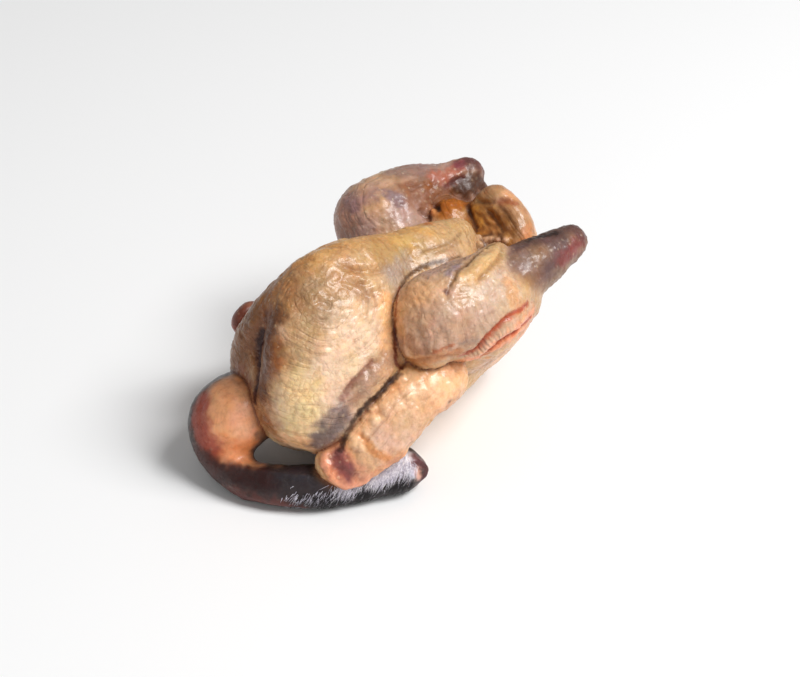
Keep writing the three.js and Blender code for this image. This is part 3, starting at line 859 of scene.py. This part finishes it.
def tone(code):
    """Red, green and blue of a tone, each from 0 to 1."""
    return np.array([int(code[i:i + 2], 16) / 255 for i in (0, 2, 4)])


def toned(colours, code, amount):
    """The colours moved towards a tone."""
    return colours + amount * (tone(code) - colours)


def laid_stains(colours, stains):
    """Soft, ragged patches of tone laid over the skin one after another."""
    for i, (code, radius, strength, path) in enumerate(stains):
        path = laid_on_skin(path)
        here = around(path, radius * 1.6)
        away, _ = away_from(path, points[here])
        ragged = 0.35 * ripple(points[here], radius * 0.45, i) + 0.2 * ripple(points[here], 2.5, i + 1)
        edge = np.clip((1.45 - away / radius + ragged) / 1.1, 0, 1)
        amount = strength * edge * edge * (3 - 2 * edge)
        colours[here] = toned(colours[here], code, amount[:, None])


# Under the stains the skin is yellower over fat and greyer over muscle, but not on the neck.
FATTY, MEATY = "dcae68", "94777a"
layers = np.repeat([[tone(code) for _, code, _ in pieces.values()]], len(points), axis=0)
slow = ripple(points, 24, 31) + 0.5 * ripple(points, 11, 32)
for patch, code in ((slow, FATTY), (-slow, MEATY)):
    amount = 0.6 * np.clip(patch - 0.1, 0, 1)[:, None, None]
    layers[:, :-1] = toned(layers[:, :-1], code, amount)
for i, (_, _, stains) in enumerate(pieces.values()):
    laid_stains(layers[:, i], stains)
seen = (layers * shares[:, :, None]).sum(1)

# Where leg and wing lie against the breast, their edges are drawn dark: painted shade in the creases,
# reddish brown along the leg.
crease_shade_stains = [
    ("4a3426", 1.4, 0.7, [(-13, -27, 98), (-5, -21, 98), (3, -18, 98), (10, -19, 100), (18, -21, 100)]),
    ("5c4636", 1.2, 0.5, [(18, -21, 100), (25, -22, 100), (32, -22, 99)]),
    ("8e4420", 1.2, 0.8, [(-13, -27, 98), (-18, -32, 98), (-24, -38, 95), (-26, -40, 85)]),
    ("5e2614", 1.3, 0.85, [(-26, -40, 85), (-29, -44, 76), (-30, -46, 70), (-28, -48, 67)]),
    ("24130d", 1.9, 0.85, [(-31, -50, 65), (-37, -50, 63), (-43, -51, 60), (-50, -51, 57), (-56, -51, 53)]),
    ("24130d", 1.6, 0.7, [(-56, -51, 53), (-61, -51, 48), (-65, -51, 41), (-69, -52, 36)]),
]

# Painted shade: every crease where loose parts meet is darkened, with a faint orange tint spread a little
# wider round it.
CREASE_SHADE_TONE, CREASE_ORANGE = "5c2a16", "c07c46"
crease_shade_mask = fading(meeting, 0.7)[:, None] * 0.8
seen = toned(seen, CREASE_SHADE_TONE, crease_shade_mask)
seen = toned(seen, CREASE_ORANGE, fading(meeting, 2.4)[:, None] * 0.2)
laid_stains(seen, crease_shade_stains)

# Painted light and shade: lumps are painted a little lighter and hollows a little darker and redder. The
# stubs are paler than the skin.
STUB_TONE = "f2cdac"
WARMTH = np.array([1.0, 0.96, 0.88])
blotch = ripple(points, 7, 21) * 0.5 + ripple(points, 3, 22) * 0.5
seen *= 1 + 0.05 * blotch[:, None] * np.array([1, 0.6, 1.4])
# Painted light and shade from the relief: lighter on lumps, darker in hollows.
relief_shading = np.clip(height / 1.5, -1, 1)[:, None]
seen *= 1 + relief_shading * np.array([0.07, 0.10, 0.13])
seen = toned(seen, STUB_TONE, (0.7 * stubs)[:, None])
# Painted light and shade in the vent's bowl: raised wrinkles lighter, sunken ones darker.
seen *= 1 + in_bowl[:, None] * np.clip(wrinkled, -1, 1)[:, None] * np.array([0.13, 0.19, 0.26])
linear = np.clip(seen, 0.01, 0.97) ** 2.2 * WARMTH

low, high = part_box("guinea_fowl")
middle = (points.min(0) + points.max(0)) / 2
shift = np.array([(low.x + high.x) / 2 * 1000 - middle[0], (low.y + high.y) / 2 * 1000 - middle[1], 0])


def in_metres(p):
    """From the bird's own millimetres to the frame, in metres."""
    return (p + shift) / 1000


mesh = bpy.data.meshes.new("guinea_fowl_skin")
mesh.from_pydata(in_metres(skin_points).tolist(), [], faces.tolist())
mesh.shade_smooth()


def paint(mesh, name, values):
    """Stores one colour or one number for each point of a mesh."""
    kind = "FLOAT_COLOR" if values.ndim == 2 else "FLOAT"
    attribute = mesh.attributes.new(name, kind, "POINT")
    if values.ndim == 2:
        rgba = np.concatenate([values, np.ones((len(values), 1))], 1)
        attribute.data.foreach_set("color", rgba.astype(np.float32).ravel())
    else:
        attribute.data.foreach_set("value", values.astype(np.float32))


paint(mesh, "tone", linear)
grey = seen.mean(1)
mid_tone = np.clip((0.85 - grey) / 0.35, 0.15, 1) * np.clip(grey * 3 - 0.3, 0, 1)
paint(mesh, "follicles", mid_tone * (1 - spread(rump=0.8, neck=0.7)))
paint(mesh, "wet", np.clip(grey * 1.5, 0.15, 1) * (1 - 0.8 * crease_shade_mask[:, 0]))
paint(mesh, "run", run)
paint(mesh, "lines", lines)
paint(mesh, "ribs", ribs)
paint(mesh, "creping", spread(trunk=1, near_leg=0.8, near_wing=0.5, neck=0.2))

bird_skin = placed("guinea_fowl_skin", mesh)
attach(bird_skin, "root")
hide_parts("guinea_fowl")


def new_group(name, outputs, **inputs):
    """An empty shader group with number inputs and the named outputs."""
    group = bpy.data.node_groups.new(name, "ShaderNodeTree")
    for label, value in inputs.items():
        socket = group.interface.new_socket(label, in_out="INPUT", socket_type="NodeSocketFloat")
        socket.default_value = value
    for label in outputs:
        group.interface.new_socket(label, in_out="OUTPUT", socket_type="NodeSocketFloat")
    start = group.nodes.new("NodeGroupInput")
    end = group.nodes.new("NodeGroupOutput")
    place = group.nodes.new("ShaderNodeTexCoord").outputs["Object"]
    return group, start, end, place


def node(tree, kind, inputs=None, **settings):
    """A node with its settings, and its inputs set or linked."""
    made = tree.nodes.new(kind)
    for label, value in settings.items():
        setattr(made, label, value)
    for label, value in (inputs or {}).items():
        socket = made.inputs[label]
        if isinstance(value, bpy.types.NodeSocket):
            tree.links.new(value, socket)
        else:
            socket.default_value = value
    return made


def sum_of(tree, a, b, operation="ADD"):
    """Two values added, or put together in another way."""
    return node(tree, "ShaderNodeMath", {0: a, 1: b}, operation=operation).outputs[0]


def times(tree, a, b):
    """Two values multiplied."""
    return sum_of(tree, a, b, "MULTIPLY")


def ranged(tree, value, low, high, start=0.0, end=1.0, curve="LINEAR"):
    """A value stretched from one range onto another."""
    return node(tree, "ShaderNodeMapRange", {
        "Value": value, "From Min": low, "From Max": high, "To Min": start, "To Max": end,
    }, interpolation_type=curve).outputs[0]


def noise(tree, place, scale, detail, part="Fac"):
    """Cloudy noise, as a value or as a colour."""
    inputs = {"Vector": place, "Scale": scale, "Detail": detail}
    return node(tree, "ShaderNodeTexNoise", inputs).outputs[part]


def warped(tree, place, scale, detail, reach):
    """A place pushed about by noise."""
    push = noise(tree, place, scale, detail, "Color")
    bent = node(tree, "ShaderNodeVectorMath", {0: push, 1: (reach, reach, reach)}, operation="MULTIPLY")
    return node(tree, "ShaderNodeVectorMath", {0: place, 1: bent.outputs[0]}).outputs[0]


def painted(tree, name, part="Fac"):
    """A number or a colour painted on the mesh."""
    return node(tree, "ShaderNodeAttribute", attribute_name=name).outputs[part]


def follicle_group():
    """Pale raised dots where the feathers were pulled, some strong and some faint."""
    group, start, end, place = new_group("follicles", ["Dot"], Scale=300.0)
    moved = warped(group, place, 420.0, 1.0, 0.0012)
    cells = node(group, "ShaderNodeTexVoronoi", {"Vector": moved, "Scale": start.outputs["Scale"]})
    chance = node(group, "ShaderNodeSeparateColor", {"Color": cells.outputs["Color"]}).outputs["Red"]
    strength = ranged(group, chance, 0.15, 0.9)
    dot = ranged(group, cells.outputs["Distance"], 0.1, 0.36, 1.0, 0.0, "SMOOTHSTEP")
    group.links.new(times(group, dot, strength), end.inputs["Dot"])
    return group


def creping_group():
    """Fine crinkles of loose skin: a warped network of ridges, and the dark lines between them."""
    group, start, end, place = new_group("creping", ["Height", "Crack"], Scale=300.0)
    moved = warped(group, place, 160.0, 2.0, 0.004)
    net = node(
        group, "ShaderNodeTexVoronoi",
        {"Vector": moved, "Scale": start.outputs["Scale"]}, feature="DISTANCE_TO_EDGE",
    ).outputs["Distance"]
    group.links.new(ranged(group, net, 0.0, 0.35, curve="SMOOTHSTEP"), end.inputs["Height"])
    crack = ranged(group, net, 0.02, 0.14, 1.0, 0.0)
    shown = ranged(group, noise(group, place, 70.0, 2.0), 0.42, 0.6)
    group.links.new(times(group, crack, shown), end.inputs["Crack"])
    return group


def line_group():
    """Stretch lines across the painted `run`: bent and broken ridges, and dark cuts between them."""
    group, start, end, place = new_group("stretch_lines", ["Height", "Cut"], Pitch=2.0)
    bent = sum_of(group, painted(group, "run"), times(group, noise(group, place, 45.0, 2.0), 9.0))
    counted = sum_of(group, bent, start.outputs["Pitch"], "DIVIDE")
    ridge = node(
        group, "ShaderNodeTexNoise", {"W": counted, "Scale": 1.0, "Detail": 1.0}, noise_dimensions="1D",
    ).outputs["Fac"]
    shown = ranged(group, noise(group, place, 110.0, 1.0), 0.35, 0.6)
    group.links.new(times(group, ranged(group, ridge, 0.35, 0.65), shown), end.inputs["Height"])
    group.links.new(times(group, ranged(group, ridge, 0.36, 0.45, 1.0, 0.0), shown), end.inputs["Cut"])
    return group


def mottle_group():
    """Uneven colour under the skin: fine flecks, and patches of fat, blood and bruise."""
    finenesses = {"Fleck": (330.0, 0.0), "Fat": (120.0, 3.0), "Blood": (95.0, 5.0), "Bruise": (75.0, 8.0)}
    group, start, end, place = new_group("mottle", list(finenesses), Scale=1.0)
    for label, (fineness, away) in finenesses.items():
        moved = node(group, "ShaderNodeVectorMath", {0: place, 1: (away, away, away)}).outputs[0]
        scale = times(group, start.outputs["Scale"], fineness)
        cloud = node(group, "ShaderNodeTexNoise", {
            "Vector": moved, "Scale": scale, "Detail": 5.0, "Roughness": 0.65,
        }).outputs["Fac"]
        group.links.new(ranged(group, cloud, 0.45, 0.68), end.inputs[label])
    return group


FOLLICLES = follicle_group()
CREPING = creping_group()
LINES = line_group()
MOTTLE = mottle_group()


def new_material(name, **settings):
    """A material with its nodes, and its shader's sockets set to plain values."""
    material = bpy.data.materials.new(name)
    material.use_nodes = True
    shader = material.node_tree.nodes["Principled BSDF"]
    for label, value in settings.items():
        shader.inputs[label.replace("_", " ")].default_value = value
    return material, material.node_tree, shader


def tinted(tree, colour, tint, amount, blend="MULTIPLY"):
    """A colour multiplied by a tint, or blended with it in another way, as far as `amount` says."""
    mix = node(tree, "ShaderNodeMix", {0: amount}, data_type="RGBA", blend_type=blend)
    tree.links.new(colour, mix.inputs[6])
    mix.inputs[7].default_value = (*tint, 1)
    return mix.outputs[2]


def bird_skin_material():
    """Greasy skin: painted tones, mottled below and lined, cracked and dotted above, under wet grease."""
    material, tree, shader = new_material(
        "bird_skin",
        Subsurface_Weight=0.15, Subsurface_Radius=(1.0, 0.4, 0.2), Subsurface_Scale=0.0025,
        Specular_IOR_Level=0.35, Coat_Roughness=0.18,
    )
    dots = node(tree, "ShaderNodeGroup", node_tree=FOLLICLES).outputs
    crinkles = node(tree, "ShaderNodeGroup", node_tree=CREPING).outputs
    stretch = node(tree, "ShaderNodeGroup", {"Pitch": 2.2}, node_tree=LINES).outputs
    under = node(tree, "ShaderNodeGroup", node_tree=MOTTLE).outputs
    creping = painted(tree, "creping")
    lined = painted(tree, "lines")
    dot = times(tree, dots["Dot"], painted(tree, "follicles"))
    line = times(tree, stretch["Height"], lined)
    cut = times(tree, stretch["Cut"], lined)
    crack = times(tree, crinkles["Crack"], creping)
    rib = sum_of(tree, times(tree, painted(tree, "run"), 2.3), 0.0, "SINE")
    rib = times(tree, rib, painted(tree, "ribs"))

    colour = painted(tree, "tone", "Color")
    for tint, shown in (
        ((0.60, 0.49, 0.42), times(tree, under["Fleck"], 0.45)),
        ((1.05, 0.92, 0.62), times(tree, under["Fat"], 0.5)),
        ((0.98, 0.74, 0.66), times(tree, under["Blood"], 0.4)),
        ((0.84, 0.82, 0.88), times(tree, under["Bruise"], 0.4)),
        ((1.18, 1.17, 1.14), line),
        ((0.56, 0.40, 0.30), times(tree, cut, 0.42)),
        ((0.68, 0.48, 0.36), times(tree, crack, 0.24)),
    ):
        colour = tinted(tree, colour, tint, shown)
    colour = tinted(tree, colour, (0.42, 0.32, 0.2), times(tree, dot, 0.5), "SCREEN")
    tree.links.new(colour, shader.inputs["Base Color"])

    tree.links.new(ranged(tree, under["Fleck"], 0.0, 1.0, 0.36, 0.6), shader.inputs["Roughness"])
    grease = times(tree, ranged(tree, under["Bruise"], 0.0, 1.0, 0.5, 0.15), painted(tree, "wet"))
    tree.links.new(grease, shader.inputs["Coat Weight"])
    total = times(tree, dot, 0.7)
    for raised, amount in (
        (times(tree, crinkles["Height"], creping), 0.3),
        (line, 0.9),
        (rib, 0.6),
        (under["Fleck"], 0.35),
        (cut, -0.4),
        (crack, -0.15),
    ):
        total = sum_of(tree, total, times(tree, raised, amount))
    bump = node(tree, "ShaderNodeBump", {"Strength": 0.75, "Distance": 0.0006, "Height": total})
    tree.links.new(bump.outputs["Normal"], shader.inputs["Normal"])
    return material


mesh.materials.append(bird_skin_material())

# Down left on the neck
# Near the head the plucker misses the short feathers: white and lilac barbs with black ones
# between them, wet and stuck flat to the dark skin, each a thin tapering quill.
DOWN_LINES = [
    (1500, ("e4dfe8", "c9c2d2", "f6f2f5"), [(-72, -56, 17), (-59, -61, 18), (-47, -64, 20), (-37, -68, 22)]),
    (900, ("f1edf3", "faf7f8"), [(-66, -57, 21), (-55, -61, 22), (-45, -65, 25), (-38, -67, 28)]),
    (160, ("cfc8d6", "e6e2ea"), [(-94, -42, 10), (-84, -50, 12), (-74, -57, 13), (-62, -63, 13)]),
    (1000, ("211c20", "2e2629", "171316"), [
        (-92, -44, 9), (-76, -54, 10), (-62, -61, 10), (-50, -65, 11), (-38, -68, 12),
    ]),
]
DOWN_SPREAD = 2.6
TUFTS = 34
TUFT_SPREAD = 0.012
draw = random.Random(11)


def barbs():
    """Root, heading, length, half width and tone of each barb."""
    for count, codes, path in DOWN_LINES:
        row = smooth_row(laid_on_skin(path), 8)
        tufts = [draw.random() for _ in range(TUFTS)]
        for _ in range(count):
            along = min(max(draw.choice(tufts) + draw.gauss(0, TUFT_SPREAD), 0), 0.999) * (len(row) - 1)
            i = int(along)
            ahead = row[i + 1] - row[i]
            root = row[i] + ahead * (along - i)
            root = root + np.array([draw.gauss(0, DOWN_SPREAD) for _ in range(3)])
            ahead = ahead / np.linalg.norm(ahead)
            heading = -ahead * draw.uniform(0.2, 0.8) + np.array([draw.gauss(0, 0.25) for _ in range(3)])
            heading[2] -= 0.8
            length, width = draw.uniform(2.5, 6.5), draw.uniform(0.09, 0.2)
            yield root, heading, length, width, tone(draw.choice(codes))


STATIONS = 4
BARB_LIFT = 0.15
BARB_RISE = 0.25
BARB_THICKNESS = 0.8
TIP_LIFT = 0.5
ON_NECK = 1.2
ON_SKIN = 0.4
OFF_TABLE = 1.0
roots, headings, lengths, widths, tones = (np.array(v) for v in zip(*barbs()))
spots = settled(bird, np.float32(roots), rounds=3, furthest=12)
on_neck = np.abs(measured(neck, spots)) < ON_NECK
kept = on_neck & (np.abs(measured(bird, spots)) < ON_SKIN) & (spots[:, 2] > OFF_TABLE)
spots, headings, lengths, widths, tones = (v[kept] for v in (spots, headings, lengths, widths, tones))


def upward(p):
    """The way straight out of the skin at each point."""
    slope = slope_of(bird, p, measured(bird, p), step=0.5)
    return slope / (np.linalg.norm(slope, axis=-1, keepdims=True) + 1e-9)


stations = []
spot = spots
for i in range(STATIONS):
    up = upward(spot)
    flat = headings - up * (headings * up).sum(1, keepdims=True)
    flat /= np.linalg.norm(flat, axis=1, keepdims=True) + 1e-9
    width = (widths * (1 - i / STATIONS))[:, None]
    aside = np.cross(up, flat) * width
    centre = spot + up * (BARB_LIFT + BARB_RISE * i)
    stations.append([centre + aside, centre - aside, centre + up * BARB_THICKNESS * width])
    spot = settled(bird, np.float32(spot + flat * (lengths / STATIONS)[:, None]))
tip = spot + upward(spot) * TIP_LIFT

barb_points, barb_faces, barb_tones = [], [], []
for n in range(len(spots)):
    first = len(barb_points)
    for ring in stations:
        barb_points += [corner[n] for corner in ring]
    barb_points.append(tip[n])
    barb_tones += [tones[n]] * (3 * STATIONS + 1)
    barb_faces.append((first, first + 1, first + 2))
    for s in range(STATIONS - 1):
        for c in range(3):
            a, b = first + 3 * s + c, first + 3 * s + (c + 1) % 3
            barb_faces.append((a, a + 3, b + 3, b))
    last = first + 3 * (STATIONS - 1)
    for c in range(3):
        barb_faces.append((last + c, first + 3 * STATIONS, last + (c + 1) % 3))

barb_points = np.array(barb_points)
barb_points[:, 2] = np.maximum(barb_points[:, 2], 0.1)
down_mesh = bpy.data.meshes.new("neck_down")
down_mesh.from_pydata(in_metres(barb_points).tolist(), [], barb_faces)
paint(down_mesh, "tone", np.array(barb_tones) ** 2.2)


def down_material():
    """Wet down: painted tones with a little dirt in the flecks."""
    material, tree, shader = new_material("wet_down", Roughness=0.5)
    colour = painted(tree, "tone", "Color")
    fleck = node(tree, "ShaderNodeGroup", {"Scale": 3.0}, node_tree=MOTTLE).outputs["Fleck"]
    tree.links.new(tinted(tree, colour, (0.6, 0.58, 0.62), fleck), shader.inputs["Base Color"])
    bump = node(tree, "ShaderNodeBump", {"Strength": 0.4, "Distance": 0.0001, "Height": fleck})
    tree.links.new(bump.outputs["Normal"], shader.inputs["Normal"])
    return material


down_mesh.materials.append(down_material())
neck_down = placed("neck_down", down_mesh)
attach(neck_down, "root")

# Table and light
# A plain pale table under a big soft key light from the right and above, with a weak fill from
# the camera's side and pale surroundings.
FLOOR_HALF = 3.0
floor_mesh = bpy.data.meshes.new("table")
corners = [(x * FLOOR_HALF, y * FLOOR_HALF, 0) for x, y in ((-1, -1), (1, -1), (1, 1), (-1, 1))]
floor_mesh.from_pydata(corners, [], [(0, 1, 2, 3)])
floor_mesh.materials.append(new_material("pale_table", Base_Color=(0.9, 0.9, 0.9, 1), Roughness=0.7)[0])
placed("table", floor_mesh)

KEY_DIRECTION = Vector((0.34, -0.51, 0.79)).normalized()
FILL_DIRECTION = Vector((-0.62, -0.72, 0.3)).normalized()
LIGHT_DISTANCE = 3.0


def soft_light(name, direction, size, power):
    """A square lamp that looks at the bird from one side."""
    light = bpy.data.lights.new(name, "AREA")
    light.size = size
    light.energy = power
    lamp = placed(name, light)
    lamp.location = direction * LIGHT_DISTANCE
    lamp.rotation_euler = (-direction).to_track_quat("-Z", "Y").to_euler()


soft_light("key", KEY_DIRECTION, size=1.4, power=94)
soft_light("fill", FILL_DIRECTION, size=2.0, power=9)
world = bpy.data.worlds.new("studio")
world.use_nodes = True
around_all = world.node_tree.nodes["Background"]
around_all.inputs["Color"].default_value = (1, 1, 1, 1)
around_all.inputs["Strength"].default_value = 0.32
bpy.context.scene.world = world
bpy.context.scene.view_settings.view_transform = "Standard"
